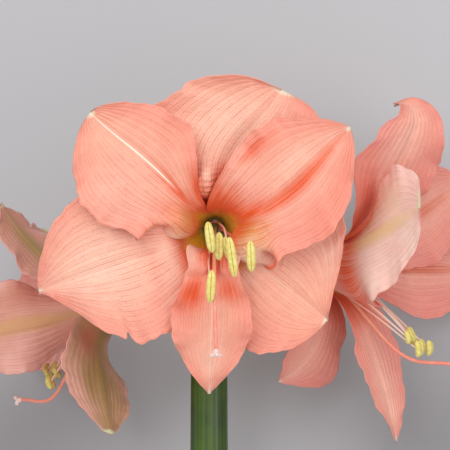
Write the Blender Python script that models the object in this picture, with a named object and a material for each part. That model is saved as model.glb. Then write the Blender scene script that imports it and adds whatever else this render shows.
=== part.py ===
"""A cut amaryllis stem with three open blooms, lying on a flat surface.

The stem is modelled in a flower frame: X to the right, Y up along the stem, Z towards the front bloom's
viewer, with the stem's axis on X = Z = 0. An empty then lays the whole stem down on Z = 0, turned so that
it rests on its cut end and on the lowest petals of the two side blooms. Lengths are in metres, angles in
degrees.
"""

import math

import bmesh
import bpy
import numpy as np
from mathutils import Matrix, Vector

# The stem. Its neck profile is pairs: how much slimmer than the top radius, how far below the top.
SCAPE_LENGTH = 0.450
SCAPE_TOP_Y = -0.005
SCAPE_TOP_RADIUS = 0.0115
SCAPE_CUT_RADIUS = 0.0140
SCAPE_SIDES = 20
HOLLOW_RADIUS = 0.0086
HOLLOW_DEPTH = 0.040
HOLLOW_END_SHARE = 0.85
NECK_PROFILE = ((0.0006, 0.030), (0.0004, 0.012), (0.0, 0.003), (0.0004, 0.0))

# The stalk under each bloom, and the seed case that joins it to the bloom
PEDICEL_RADIUS = 0.0042
PEDICEL_RING_RADIUS = 0.0055
PEDICEL_STRAIGHT = 0.002
PEDICEL_SIDES = 12
PEDICEL_STEPS = 8
PEDICEL_PULL_UP = 0.45
PEDICEL_PULL_BACK = 0.40
PEDICEL_TAPER = (1, 1, 0.98, 0.95, 0.92, 0.9, 0.9, 0.92, 0.98)
OVARY_LENGTH = 0.018
OVARY_RADIUS = 0.0068
OVARY_LOBE_DEPTH = 0.10
OVARY_SHARES = (0.2, 0.4, 0.6, 0.8, 0.93, 1.0)
OVARY_SWELL = (0.80, 0.95, 1.0, 0.98, 0.90, 0.80)
OVARY_LOBES = (0.6, 1, 1, 1, 0.7, 0.2)
SEAT_GAP = 0.0003

# The short cup that the petals of a bloom grow from
CUP_RADIUS = 0.0068
CUP_MOUTH_RADIUS = 0.0086
CUP_HEIGHT = 0.016
CUP_FLOOR = 0.0015
CUP_WALL = 0.0012
CUP_SIDES = 18
CUP_EDGE = 0.001
CUP_TAPER = 0.0004
CUP_SHOULDER = 0.002

# Petals. A span is the stretch of a petal's length over which one thing about its shape comes in.
PETAL_THICKNESS = 0.0008
PETAL_QUADS_ACROSS = 8
PETAL_QUADS_ALONG = 11
BRACT_QUADS_ACROSS = 6
BRACT_QUADS_ALONG = 8
CLAW_HALF_WIDTH = 0.0060
TIP_HALF_WIDTH = 0.0016
WHORL_RADIUS = {"inner": 0.0061, "outer": 0.0067}
PETAL_FOOT_HEIGHT = 0.0026
LEAST_RADIUS = 0.004
CUPPING = 4.0
TIP_CUPPING = 18.0
WAVE_HEIGHT = 0.0022
WAVES = 4.5
GROOVE_DEPTH = 0.0012
GROOVE_WIDTH = 0.0035
OPENING_SPAN = (0.42, 0.62)
CUPPING_SPAN = (0.30, 0.60)
TIP_SPAN = (0.82, 1.0)
BLADE_SPAN = (0.32, 0.52)
TWIST_SPAN = (0.25, 0.80)
SWEEP_SPAN = (0.35, 1.0)
FINE_STEPS = 240
FINE_ACROSS = 48
RIB_BLUR = 25

# Stamens and styles
RING_RADIUS = 0.0046
RING_HOLE_RADIUS = 0.0027
RING_HEIGHT = 0.0018
RING_SIDES = 12
FILAMENT_RADIUS = 0.0009
FILAMENT_TIP_SHARE = 0.7
FILAMENT_SIDES = 5
FILAMENT_LEAN = 0.0008
HALF_WAY_RADIUS = 0.0055
ANTHER_LENGTH = 0.0185
ANTHER_RADIUS = 0.0025
STYLE_RADIUS = 0.0013
STYLE_SIDES = 6
STYLE_FOOT_BEND = (0.0, -0.0004, 0.008)
STIGMA_LOBE_LENGTH = 0.0045
STIGMA_LOBE_FOOT = 0.0006
STIGMA_LOBE_WAY = (0.62, 0.78)
STIGMA_LOBE_TAPER = (1.0, 0.9, 0.6)
STIGMA_TURN = 0.4
ROUTE_STEPS = 2

# How the whole stem lies: on its cut end, a petal of the left bloom and a petal of the right one, which
# are pressed flat where they touch
LAY_TILT = 7.0732
LAY_ROLL = 12.5629
PRESSED_DEPTH = 0.0004


def bend(*pairs):
    """A petal's angle from its bloom's axis, as (share of its length, degrees) pairs."""
    return np.array(pairs, dtype=float)


FLAT = bend((0, 12), (0.2, 15), (0.46, 82), (0.62, 90), (1, 96))
FLAT_BEHIND = bend((0, 14), (0.17, 20), (0.40, 84), (0.62, 90), (1, 94))

# A petal's direction is measured round the bloom's axis, anticlockwise from the right as its viewer sees
# it, and its sweep is how far round from there its foot stands. Its two sides, anticlockwise and clockwise
# of the midrib, are each a half-width, the share of the length where it is widest, and how keenly it narrows
# to the tip and to the foot. Each anther is the direction of its filament's foot, its middle, its length as
# a share of the usual one and its lean in degrees. On its way a filament passes a middle point, at shares
# of the anther's place.
BLOOMS = {
    "front": {
        "base": (0.004, 0.050, 0.050),
        "axis": (0.0, -0.10, 0.995),
        "petals": (
            dict(at=64.6, sweep=16, length=0.1065, whorl="outer", bend=FLAT_BEHIND,
                 ccw=(0.057, 0.62, 0.33, 2.2), cw=(0.042, 0.62, 0.30, 2.2)),
            dict(at=198.6, length=0.127, whorl="outer", bend=FLAT_BEHIND,
                 ccw=(0.049, 0.56, 1.3, 2.2), cw=(0.046, 0.66, 0.7, 2.2)),
            dict(at=-38.2, length=0.0975, whorl="outer", bend=FLAT_BEHIND,
                 ccw=(0.056, 0.62, 1.2, 2.2), cw=(0.044, 0.68, 0.5, 2.2)),
            dict(at=135.5, sweep=-6, length=0.126, whorl="inner", bend=FLAT,
                 ccw=(0.0465, 0.62, 0.6, 3.0), cw=(0.0325, 0.66, 0.55, 8.0)),
            dict(at=38.5, sweep=-11, length=0.125, whorl="inner", bend=FLAT,
                 ccw=(0.0415, 0.58, 0.85, 2.4), cw=(0.036, 0.64, 0.75, 2.4)),
            dict(at=268, length=0.122, whorl="inner", ccw=(0.0245, 0.62, 0.95, 4.0),
                 cw=(0.0245, 0.62, 0.95, 4.0),
                 bend=bend((0, 12), (0.2, 20), (0.36, 36), (0.47, 92), (0.7, 100), (1, 96))),
        ),
        "half_way": (0.40, 0.42, 0.62),
        "anthers": (
            (0, (0.0214, -0.0112, 0.062), 1.0, 2),
            (60, (0.0078, -0.0085, 0.046), 0.8, 14),
            (120, (-0.0026, 0.0005, 0.066), 1.0, 8),
            (180, (0.0027, -0.0055, 0.060), 0.9, 0),
            (240, (-0.0020, -0.0280, 0.070), 1.05, -3),
            (300, (0.0103, -0.0112, 0.066), 1.3, 8),
        ),
        "style": ((0.0, -0.003, 0.020), (0.0, -0.010, 0.040), (0.0, -0.030, 0.066), (0.001, -0.065, 0.076)),
    },
    "right": {
        "base": (0.049, 0.028, 0.007),
        "axis": (0.85, -0.10, 0.50),
        "petals": (
            dict(at=94, length=0.140, whorl="outer", twist=-32, ccw=(0.034, 0.62, 0.8, 4.0),
                 cw=(0.031, 0.62, 0.8, 4.0), bend=bend((0, 14), (0.2, 20), (0.44, 60), (0.8, 66), (1, 80))),
            dict(at=249, length=0.097, whorl="outer", ccw=(0.034, 0.60, 0.7, 2.6), cw=(0.030, 0.60, 0.7, 2.6),
                 bend=bend((0, 14), (0.2, 24), (0.42, 74), (1, 142))),
            dict(at=2, length=0.132, whorl="outer", twist=-20, ccw=(0.033, 0.66, 0.6, 4.0),
                 cw=(0.033, 0.66, 0.6, 4.0), bend=bend((0, 14), (0.2, 20), (0.44, 56), (1, 64))),
            dict(at=138, length=0.130, whorl="inner", twist=34, ccw=(0.041, 0.46, 0.7, 2.4),
                 cw=(0.037, 0.78, 0.5, 3.4), bend=bend((0, 12), (0.25, 18), (0.5, 34), (0.8, 36), (1, 46))),
            dict(at=280, length=0.138, whorl="inner", ccw=(0.030, 0.60, 0.8, 3.4), cw=(0.020, 0.60, 0.9, 4.0),
                 bend=bend((0, 12), (0.22, 20), (0.46, 66), (1, 74))),
            dict(at=38, length=0.130, whorl="inner", twist=-20, ccw=(0.033, 0.66, 0.6, 4.0),
                 cw=(0.033, 0.66, 0.6, 4.0), bend=bend((0, 12), (0.22, 18), (0.46, 60), (1, 70))),
        ),
        "half_way": (0.40, 0.42, 0.62),
        "anthers": (
            (0, (0.010, -0.0432, 0.0996), 0.55, 10),
            (60, (0.006, -0.0358, 0.0877), 0.55, 30),
            (120, (-0.004, -0.0370, 0.0939), 0.55, 35),
            (180, (-0.010, -0.0361, 0.0940), 0.5, 30),
            (240, (-0.006, -0.0430, 0.0996), 0.6, 20),
            (300, (0.006, -0.0429, 0.0959), 0.6, 15),
        ),
        "style": ((0.0, -0.004, 0.020), (0.0, -0.012, 0.040), (0.0, -0.048, 0.086), (0.0, -0.050, 0.121)),
    },
    "left": {
        "base": (-0.045, 0.003, 0.006),
        "axis": (-0.93, -0.25, -0.25),
        "petals": (
            dict(at=75, length=0.108, whorl="outer", ccw=(0.033, 0.64, 0.7, 4.0), cw=(0.033, 0.64, 0.7, 4.0),
                 bend=bend((0, 14), (0.2, 20), (0.44, 58), (0.8, 66), (1, 80))),
            dict(at=-57, length=0.101, whorl="outer", twist=26, ccw=(0.035, 0.48, 0.75, 1.9),
                 cw=(0.030, 0.46, 0.75, 1.9), bend=bend((0, 14), (0.2, 34), (0.40, 94), (1, 99))),
            dict(at=174, length=0.136, whorl="outer", ccw=(0.036, 0.66, 0.6, 4.0), cw=(0.034, 0.66, 0.6, 4.0),
                 bend=bend((0, 14), (0.2, 20), (0.44, 34), (1, 42))),
            dict(at=3, length=0.122, whorl="inner", ccw=(0.030, 0.60, 0.6, 3.0), cw=(0.030, 0.60, 0.6, 3.0),
                 bend=bend((0, 12), (0.25, 18), (0.5, 38), (0.8, 42), (1, 60))),
            dict(at=-120, length=0.106, whorl="inner", ccw=(0.024, 0.62, 0.9, 4.0), cw=(0.024, 0.62, 0.9, 4.0),
                 bend=bend((0, 12), (0.22, 20), (0.46, 76), (1, 88))),
            dict(at=130, length=0.112, whorl="inner", ccw=(0.032, 0.66, 0.6, 4.0), cw=(0.032, 0.66, 0.6, 4.0),
                 bend=bend((0, 12), (0.22, 18), (0.46, 60), (1, 72))),
        ),
        "half_way": (0.35, 0.40, 0.70),
        "anthers": (
            (0, (0.008, -0.0283, 0.0676), 0.6, 60),
            (60, (0.005, -0.0290, 0.0630), 0.55, 40),
            (120, (0.000, -0.0300, 0.0640), 0.55, -10),
            (180, (-0.004, -0.0310, 0.0660), 0.55, -20),
            (240, (0.000, -0.0360, 0.0690), 0.55, 5),
            (300, (0.008, -0.0365, 0.0680), 0.55, 5),
        ),
        "style": ((0.0, -0.004, 0.020), (0.0, -0.012, 0.040), (0.002, -0.046, 0.070), (0.0, -0.043, 0.094)),
    },
}

# The two dry bracts that wrapped the bud cluster. Their direction is round the stem, from the viewer to +X.
SPATHE_VALVES = {
    "spathe_valve_a": dict(at=125, length=0.062, ccw=(0.015, 0.42, 1.0, 4.0), cw=(0.015, 0.42, 1.0, 4.0),
                           bend=bend((0, 4), (0.12, 10), (0.5, 96), (1, 140))),
    "spathe_valve_b": dict(at=236, length=0.056, ccw=(0.014, 0.42, 1.0, 4.0), cw=(0.015, 0.42, 1.0, 4.0),
                           bend=bend((0, 4), (0.12, 10), (0.5, 92), (1, 132))),
}
SPATHE_BASE_Y = -0.020
SPATHE_RADIUS = 0.0118
SPATHE_CLAW = 0.0110


def clean_scene():
    for old in list(bpy.data.objects):
        bpy.data.objects.remove(old)


def plain_material(name, colour, roughness):
    material = bpy.data.materials.new(name)
    material.use_nodes = True
    shader = material.node_tree.nodes["Principled BSDF"]
    shader.inputs["Base Color"].default_value = (*colour, 1.0)
    shader.inputs["Roughness"].default_value = roughness
    shader.inputs["Metallic"].default_value = 0.0
    return material


def smooth_step(x):
    x = np.clip(x, 0.0, 1.0)
    return x * x * (3.0 - 2.0 * x)


def unit(vector):
    return np.asarray(vector, dtype=float) / np.linalg.norm(vector)


def within(share, span):
    """How far a smooth change over a span of shares has come: 0 before it, 1 after it."""
    return smooth_step((share - span[0]) / (span[1] - span[0]))


def half_width(share, side, claw):
    """Half-width of one side of a petal at a share of its length: a narrow claw, a full blade, then the tip."""
    width, peak, tip, foot = side
    rise = np.sin(0.5 * math.pi * np.clip(share / peak, 0, 1)) ** foot
    fall = np.cos(0.5 * math.pi * np.clip((share - peak) / (1 - peak), 0, 1)) ** tip
    return np.where(share < peak, claw + (width - claw) * rise, np.maximum(width * fall, TIP_HALF_WIDTH))


def petal_rib(petal, start_radius):
    """The petal's midrib in its own plane: distance from the axis, height and angle at each fine step."""
    share = np.linspace(0, 1, FINE_STEPS + 1)
    raw = np.interp(share, petal["bend"][:, 0], petal["bend"][:, 1])
    padded = np.pad(raw, RIB_BLUR // 2, mode="edge")
    angle = np.radians(np.convolve(padded, np.ones(RIB_BLUR) / RIB_BLUR, mode="valid"))
    step = petal["length"] / FINE_STEPS
    middle = 0.5 * (angle[1:] + angle[:-1])
    radius = start_radius + np.concatenate(([0], np.cumsum(np.sin(middle) * step)))
    height = np.concatenate(([0], np.cumsum(np.cos(middle) * step)))
    return share, radius, height, angle


def petal_half(petal, side, v, hug, claw, quads):
    """Distances across and above the midrib of one half of a petal, rows along it and columns outwards."""
    fine = np.linspace(0, 1, FINE_ACROSS + 1)[None, :]
    full = half_width(v, petal["ccw" if side > 0 else "cw"], claw)
    s = full * fine
    theta = (hug + CUPPING * within(v, CUPPING_SPAN) + TIP_CUPPING * within(v, TIP_SPAN)) * s
    middle = 0.5 * (theta[:, 1:] + theta[:, :-1])
    ds = full / FINE_ACROSS
    nothing = np.zeros((len(v), 1))
    x = np.concatenate((nothing, np.cumsum(np.cos(middle) * ds, axis=1)), axis=1)
    y = np.concatenate((nothing, np.cumsum(np.sin(middle) * ds, axis=1)), axis=1)
    wave = np.sin(2 * math.pi * WAVES * v + 3 * math.radians(petal["at"]) + side)
    groove = GROOVE_DEPTH * np.exp(-((s / GROOVE_WIDTH) ** 2))
    y = y + within(v, BLADE_SPAN) * (WAVE_HEIGHT * fine**2 * wave - groove)
    step = FINE_ACROSS // quads
    return x[:, ::step], y[:, ::step]


def petal_surface(petal, quads_across, quads_along, start_radius, claw):
    """Points of a petal's middle surface, in its bloom's frame with the axis on Z."""
    v = np.linspace(0, 1, quads_along + 1)[:, None]
    share, radius, height, angle = petal_rib(petal, start_radius)
    r = np.interp(v, share, radius)
    h = np.interp(v, share, height)[..., None]
    psi = np.interp(v, share, angle)
    hug = np.cos(psi) / np.maximum(r, LEAST_RADIUS) * (1 - within(v, OPENING_SPAN))
    x_left, y_left = petal_half(petal, -1, v, hug, claw, quads_across // 2)
    x_right, y_right = petal_half(petal, 1, v, hug, claw, quads_across // 2)
    x = np.concatenate((-x_left[:, :0:-1], x_right), axis=1)[..., None]
    y = np.concatenate((y_left[:, :0:-1], y_right), axis=1)[..., None]
    turn = petal["at"] + petal.get("sweep", 0.0) * (1 - within(v, SWEEP_SPAN))
    azimuth = np.radians(turn)[..., None]
    radial = np.concatenate((np.cos(azimuth), np.sin(azimuth), 0 * azimuth), axis=2)
    tangent = np.concatenate((-np.sin(azimuth), np.cos(azimuth), 0 * azimuth), axis=2)
    axis = np.array((0.0, 0.0, 1.0))
    psi = psi[..., None]
    normal = np.sin(psi) * axis - np.cos(psi) * radial
    twist = (math.radians(petal.get("twist", 0.0)) * within(v, TWIST_SPAN))[..., None]
    rib = r[..., None] * radial + h * axis
    sideways = np.cos(twist) * tangent + np.sin(twist) * normal
    upwards = np.cos(twist) * normal - np.sin(twist) * tangent
    return rib + x * sideways + y * upwards


def bloom_matrix(bloom):
    """The bloom's own frame: k along its axis, j as near to straight up as it goes."""
    k = unit(bloom["axis"])
    j = unit(np.array((0.0, 1.0, 0.0)) - k[1] * k)
    i = np.cross(j, k)
    turn = Matrix((i.tolist(), j.tolist(), k.tolist())).transposed()
    return Matrix.Translation(bloom["base"]) @ turn.to_4x4()


def sheet_mesh(points):
    """A bmesh sheet through a grid of points, split into triangles."""
    rows, columns = points.shape[:2]
    bm = bmesh.new()
    bmesh.ops.create_grid(bm, x_segments=columns - 1, y_segments=rows - 1, size=0.5)
    bm.verts.ensure_lookup_table()
    for vert, place in zip(bm.verts, points.reshape(-1, 3)):
        vert.co = place
    bmesh.ops.triangulate(bm, faces=bm.faces)
    return bm


def add_object(name, bm, material=None):
    mesh = bpy.data.meshes.new(name)
    bm.to_mesh(mesh)
    bm.free()
    ob = bpy.data.objects.new(name, mesh)
    bpy.context.scene.collection.objects.link(ob)
    if material:
        mesh.materials.append(material)
    return ob


def apply_modifiers(ob):
    graph = bpy.context.evaluated_depsgraph_get()
    solid = bpy.data.meshes.new_from_object(ob.evaluated_get(graph))
    ob.modifiers.clear()
    ob.data = solid


def blade(name, petal, start_radius, claw, quads_across, quads_along):
    """One petal or bract as a closed blade of even thickness."""
    ob = add_object(name, sheet_mesh(petal_surface(petal, quads_across, quads_along, start_radius, claw)))
    solid = ob.modifiers.new("thickness", "SOLIDIFY")
    solid.thickness = PETAL_THICKNESS
    solid.offset = 0
    apply_modifiers(ob)
    return ob


def turned(name, profile, sides):
    """A closed solid turned about Z from (radius, height) points that end on the axis or make a ring."""
    bm = bmesh.new()
    verts = [bm.verts.new((radius, 0.0, height)) for radius, height in profile]
    edges = [bm.edges.new(pair) for pair in zip(verts, verts[1:])]
    if profile[0][0] > 0:
        edges.append(bm.edges.new((verts[-1], verts[0])))
    bmesh.ops.spin(
        bm, geom=verts + edges, cent=(0, 0, 0), axis=(0, 0, 1), angle=2 * math.pi, steps=sides, use_merge=True
    )
    bmesh.ops.remove_doubles(bm, verts=bm.verts, dist=1e-6)
    bmesh.ops.recalc_face_normals(bm, faces=bm.faces)
    return add_object(name, bm)


def smooth_route(points, steps):
    """A Catmull-Rom curve through the points, with an even number of steps between each pair."""
    p = np.array(points, dtype=float)
    p = np.vstack((2 * p[0] - p[1], p, 2 * p[-1] - p[-2]))
    t = (np.arange(steps) / steps)[:, None]
    route = []
    for a, b, c, d in zip(p, p[1:], p[2:], p[3:]):
        route.append(
            0.5 * (2 * b + (c - a) * t + (2 * a - 5 * b + 4 * c - d) * t**2 + (3 * b - a - 3 * c + d) * t**3)
        )
    return np.vstack(route + [p[-2][None, :]])


def swept(name, route, radii, sides, lobes=None):
    """A round rod along a route, with a radius at each of its points, closed with flat ends."""
    bm = bmesh.new()
    rows = len(route)
    bmesh.ops.create_grid(bm, x_segments=sides, y_segments=rows - 1, size=0.5)
    bm.verts.ensure_lookup_table()
    tangents = np.gradient(route, axis=0)
    side_way = None
    for row in range(rows):
        along = unit(tangents[row])
        if side_way is None:
            spare = np.array((0.0, 0.0, 1.0)) if abs(along[2]) < 0.9 else np.array((1.0, 0.0, 0.0))
            side_way = np.cross(along, spare)
        side_way = unit(side_way - np.dot(side_way, along) * along)
        other = np.cross(along, side_way)
        for column in range(sides + 1):
            turn = 2 * math.pi * column / sides
            swell = 1.0 + (lobes[row] * math.cos(3 * turn) if lobes is not None else 0.0)
            reach = radii[row] * swell
            place = route[row] + reach * (math.cos(turn) * side_way + math.sin(turn) * other)
            bm.verts[row * (sides + 1) + column].co = place
    bmesh.ops.remove_doubles(bm, verts=bm.verts, dist=1e-6)
    bmesh.ops.holes_fill(bm, edges=[e for e in bm.edges if e.is_boundary], sides=0)
    bmesh.ops.recalc_face_normals(bm, faces=bm.faces)
    return add_object(name, bm)


def fuse(first, others):
    """Join solids into the first by one Boolean union, and remove the rest."""
    group = bpy.data.collections.new(first.name + "_parts")
    bpy.context.scene.collection.children.link(group)
    for ob in others:
        group.objects.link(ob)
        bpy.context.scene.collection.objects.unlink(ob)
    union = first.modifiers.new("union", "BOOLEAN")
    union.operation = "UNION"
    union.operand_type = "COLLECTION"
    union.collection = group
    union.solver = "EXACT"
    union.use_self = True
    apply_modifiers(first)
    for ob in list(group.objects):
        bpy.data.objects.remove(ob)
    bpy.data.collections.remove(group)
    keep_outer_skin(first)
    return first


def keep_outer_skin(ob):
    """Drops all but the largest shell of faces: pockets that the union sealed, and scraps."""
    bm = bmesh.new()
    bm.from_mesh(ob.data)
    unseen = set(bm.faces)
    shells = []
    while unseen:
        shell = [unseen.pop()]
        for face in shell:
            for edge in face.edges:
                for other in edge.link_faces:
                    if len(edge.link_faces) == 2 and other in unseen:
                        unseen.remove(other)
                        shell.append(other)
        shells.append(shell)
    shells.sort(key=len)
    bmesh.ops.delete(bm, geom=[face for shell in shells[:-1] for face in shell], context="FACES")
    bm.to_mesh(ob.data)
    bm.free()


def bloom_solid(name, bloom):
    """Six petals grown together at their foot with the cup they spring from."""
    cup = turned(
        "bloom_" + name,
        (
            (0.0, 0.0),
            (CUP_RADIUS - CUP_EDGE, 0.0),
            (CUP_RADIUS, CUP_SHOULDER),
            (CUP_MOUTH_RADIUS, CUP_HEIGHT),
            (CUP_MOUTH_RADIUS - CUP_WALL, CUP_HEIGHT),
            (CUP_RADIUS - CUP_WALL - CUP_TAPER, CUP_FLOOR),
            (0.0, CUP_FLOOR),
        ),
        CUP_SIDES,
    )
    petals = []
    for number, petal in enumerate(bloom["petals"]):
        ob = blade(
            f"petal_{name}_{number}",
            petal,
            WHORL_RADIUS[petal["whorl"]],
            CLAW_HALF_WIDTH,
            PETAL_QUADS_ACROSS,
            PETAL_QUADS_ALONG,
        )
        ob.data.transform(Matrix.Translation((0, 0, PETAL_FOOT_HEIGHT)))
        petals.append(ob)
    fuse(cup, petals)
    cup.data.transform(bloom_matrix(bloom))
    return cup


def stamens_solid(name, bloom):
    """Six filaments on the ring at the bottom of the cup, each with its anther across its tip."""
    low = CUP_FLOOR + SEAT_GAP
    ring = turned(
        "stamens_" + name,
        (
            (RING_HOLE_RADIUS, low),
            (RING_RADIUS, low),
            (RING_RADIUS, low + RING_HEIGHT),
            (RING_HOLE_RADIUS, low + RING_HEIGHT),
        ),
        RING_SIDES,
    )
    middle = 0.5 * (RING_RADIUS + RING_HOLE_RADIUS)
    pieces = []
    for number, (turn, target, size, lean) in enumerate(bloom["anthers"]):
        around = np.array((math.cos(math.radians(turn)), math.sin(math.radians(turn)), 0.0))
        target = np.array(target)
        start = around * middle + np.array((0, 0, low + 0.5 * RING_HEIGHT))
        in_cup = around * (middle + FILAMENT_LEAN) + np.array((0, 0, CUP_HEIGHT))
        half_way = around * HALF_WAY_RADIUS + target * np.array(bloom["half_way"])
        route = smooth_route((start, in_cup, half_way, target), ROUTE_STEPS)
        radii = np.linspace(FILAMENT_RADIUS, FILAMENT_RADIUS * FILAMENT_TIP_SHARE, len(route))
        pieces.append(swept(f"filament_{name}_{number}", route, radii, FILAMENT_SIDES))
        bm = bmesh.new()
        bmesh.ops.create_uvsphere(bm, u_segments=6, v_segments=5, radius=1.0)
        scale = Matrix.Diagonal((ANTHER_RADIUS, ANTHER_RADIUS, 0.5 * ANTHER_LENGTH * size, 1.0))
        upright = Matrix.Rotation(math.radians(90), 4, "X")
        tilt = Matrix.Rotation(math.radians(lean), 4, "Z")
        bmesh.ops.transform(bm, matrix=Matrix.Translation(target) @ tilt @ upright @ scale, verts=bm.verts)
        pieces.append(add_object(f"anther_{name}_{number}", bm))
    fuse(ring, pieces)
    ring.data.transform(bloom_matrix(bloom))
    return ring


def style_solid(name, bloom):
    """The style from the bottom of the cup, through the ring, to its stigma of three spread lobes."""
    low = CUP_FLOOR + SEAT_GAP
    route = smooth_route(((0.0, 0.0, low), STYLE_FOOT_BEND, *bloom["style"]), ROUTE_STEPS)
    style = swept("style_" + name, route, np.full(len(route), STYLE_RADIUS), STYLE_SIDES)
    tip_way = unit(route[-1] - route[-2])
    across = unit(np.cross(tip_way, (0.0, 0.3, 1.0)))
    onward, aside = STIGMA_LOBE_WAY
    lobes = []
    for number in range(3):
        turn = Matrix.Rotation(2 * math.pi * number / 3 + STIGMA_TURN, 3, Vector(tip_way))
        outward = np.array(turn @ Vector(across))
        end = route[-1] + STIGMA_LOBE_LENGTH * (onward * tip_way + aside * outward)
        line = smooth_route((route[-1] - STIGMA_LOBE_FOOT * tip_way, end), 2)
        radii = np.array(STIGMA_LOBE_TAPER) * STYLE_RADIUS
        lobes.append(swept(f"lobe_{name}_{number}", line, radii, STYLE_SIDES))
    fuse(style, lobes)
    style.data.transform(bloom_matrix(bloom))
    return style


def pedicel_solid(name, bloom, turn):
    """The stalk from the top of the stem, swelling at its end into the three-lobed seed case."""
    way = math.radians(turn)
    foot = np.array((PEDICEL_RING_RADIUS * math.sin(way), SCAPE_TOP_Y + SEAT_GAP,
                     PEDICEL_RING_RADIUS * math.cos(way)))
    up = np.array((0.0, 1.0, 0.0))
    k = unit(bloom["axis"])
    top = np.array(bloom["base"]) - k * SEAT_GAP
    neck = top - k * OVARY_LENGTH
    rise = foot + up * PEDICEL_STRAIGHT
    reach = np.linalg.norm(neck - rise)
    t = np.linspace(0, 1, PEDICEL_STEPS)[:, None]
    p1 = rise + up * PEDICEL_PULL_UP * reach
    p2 = neck - k * PEDICEL_PULL_BACK * reach
    arch = (1 - t) ** 3 * rise + 3 * (1 - t) ** 2 * t * p1 + 3 * (1 - t) * t**2 * p2 + t**3 * neck
    ovary = neck + np.array(OVARY_SHARES)[:, None] * OVARY_LENGTH * k
    route = np.vstack((foot, arch, ovary))
    radii = [PEDICEL_RADIUS * share for share in PEDICEL_TAPER]
    radii += [OVARY_RADIUS * share for share in OVARY_SWELL]
    lobes = [0.0 for _ in PEDICEL_TAPER]
    lobes += [OVARY_LOBE_DEPTH * share for share in OVARY_LOBES]
    return swept("pedicel_" + name, route, radii, PEDICEL_SIDES, lobes)


def scape_solid():
    """The stem: a stout, slightly tapering stalk, hollow where it was cut."""
    length = SCAPE_LENGTH
    middle_radius = 0.5 * (SCAPE_TOP_RADIUS + SCAPE_CUT_RADIUS)
    ob = turned(
        "scape",
        (
            (0.0, HOLLOW_DEPTH),
            (HOLLOW_RADIUS * HOLLOW_END_SHARE, HOLLOW_DEPTH),
            (HOLLOW_RADIUS, 0.0),
            (SCAPE_CUT_RADIUS, 0.0),
            (middle_radius, 0.5 * length),
            *((SCAPE_TOP_RADIUS - inset, length - below) for inset, below in NECK_PROFILE),
            (0.0, length),
        ),
        SCAPE_SIDES,
    )
    stand = Matrix.Translation((0, SCAPE_TOP_Y - length, 0)) @ Matrix.Rotation(math.radians(-90), 4, "X")
    ob.data.transform(stand)
    return ob


def spathe_solid(name, valve):
    """A papery bract that wraps part of the stem's top and bends out and down."""
    ob = blade(name, valve, SPATHE_RADIUS, SPATHE_CLAW, BRACT_QUADS_ACROSS, BRACT_QUADS_ALONG)
    frame = Matrix(((0, 1, 0), (0, 0, 1), (1, 0, 0)))
    ob.data.transform(Matrix.Translation((0, SPATHE_BASE_Y, 0)) @ frame.to_4x4())
    return ob


def lying_matrix(solids):
    """Carries the flower frame to the lying stem: turned about X, rolled about Y, and set down.

    The middle of the stem's box comes over the origin, and its lowest points PRESSED_DEPTH below the floor.
    """
    turn = Matrix.Rotation(math.radians(LAY_ROLL), 4, "Y") @ Matrix.Rotation(math.radians(LAY_TILT), 4, "X")
    corners = np.array([turn @ vert.co for ob in solids for vert in ob.data.vertices])
    low = corners.min(axis=0)
    high = corners.max(axis=0)
    down = Vector((-0.5 * (low[0] + high[0]), -0.5 * (low[1] + high[1]), -low[2] - PRESSED_DEPTH))
    return Matrix.Translation(down) @ turn


def press_flat(ob, lying):
    """Trims what would reach below the floor, which leaves a small flat spot there."""
    back = lying.inverted()
    floor_point = back @ Vector((0.0, 0.0, 0.0))
    floor_up = (back.to_3x3() @ Vector((0.0, 0.0, 1.0))).normalized()
    bm = bmesh.new()
    bm.from_mesh(ob.data)
    everything = list(bm.verts) + list(bm.edges) + list(bm.faces)
    bmesh.ops.bisect_plane(
        bm, geom=everything, dist=1e-7, plane_co=floor_point, plane_no=floor_up, clear_inner=True
    )
    open_edges = [edge for edge in bm.edges if edge.is_boundary]
    bmesh.ops.holes_fill(bm, edges=open_edges, sides=0)
    bm.to_mesh(ob.data)
    bm.free()


def build():
    clean_scene()
    petal_skin = plain_material("petal_skin", (0.90, 0.42, 0.30), 0.55)
    green_skin = plain_material("green_skin", (0.10, 0.22, 0.05), 0.45)
    stamen_skin = plain_material("stamen_skin", (0.90, 0.80, 0.42), 0.7)
    style_skin = plain_material("style_skin", (0.90, 0.45, 0.38), 0.5)
    papery_skin = plain_material("papery_skin", (0.62, 0.48, 0.30), 0.8)
    solids = [(scape_solid(), green_skin)]
    for (name, bloom), turn in zip(BLOOMS.items(), (0, 120, 240)):
        solids.append((pedicel_solid(name, bloom, turn), green_skin))
        solids.append((bloom_solid(name, bloom), petal_skin))
        solids.append((stamens_solid(name, bloom), stamen_skin))
        solids.append((style_solid(name, bloom), style_skin))
    for name, valve in SPATHE_VALVES.items():
        solids.append((spathe_solid(name, valve), papery_skin))
    lying = bpy.data.objects.new("lying_stem", None)
    bpy.context.scene.collection.objects.link(lying)
    lying.matrix_world = lying_matrix([ob for ob, _ in solids])
    for ob, material in solids:
        press_flat(ob, lying.matrix_world)
        ob.data.materials.clear()
        ob.data.materials.append(material)
        ob.data.shade_smooth()
        ob.parent = lying


build()
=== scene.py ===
"""A cut amaryllis stem with three open blooms, laid down on a pale floor and seen from above.

The flower is described as it grew, in a flower frame: X to the right, Y up along the stem, Z towards whoever
faces the front bloom, with the stem's axis on X = Z = 0. Each mesh is then laid down with the whole stem.
Lengths are in metres.
"""

import math

import bmesh
import bpy
import numpy as np
from mathutils import Matrix, Vector


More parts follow.
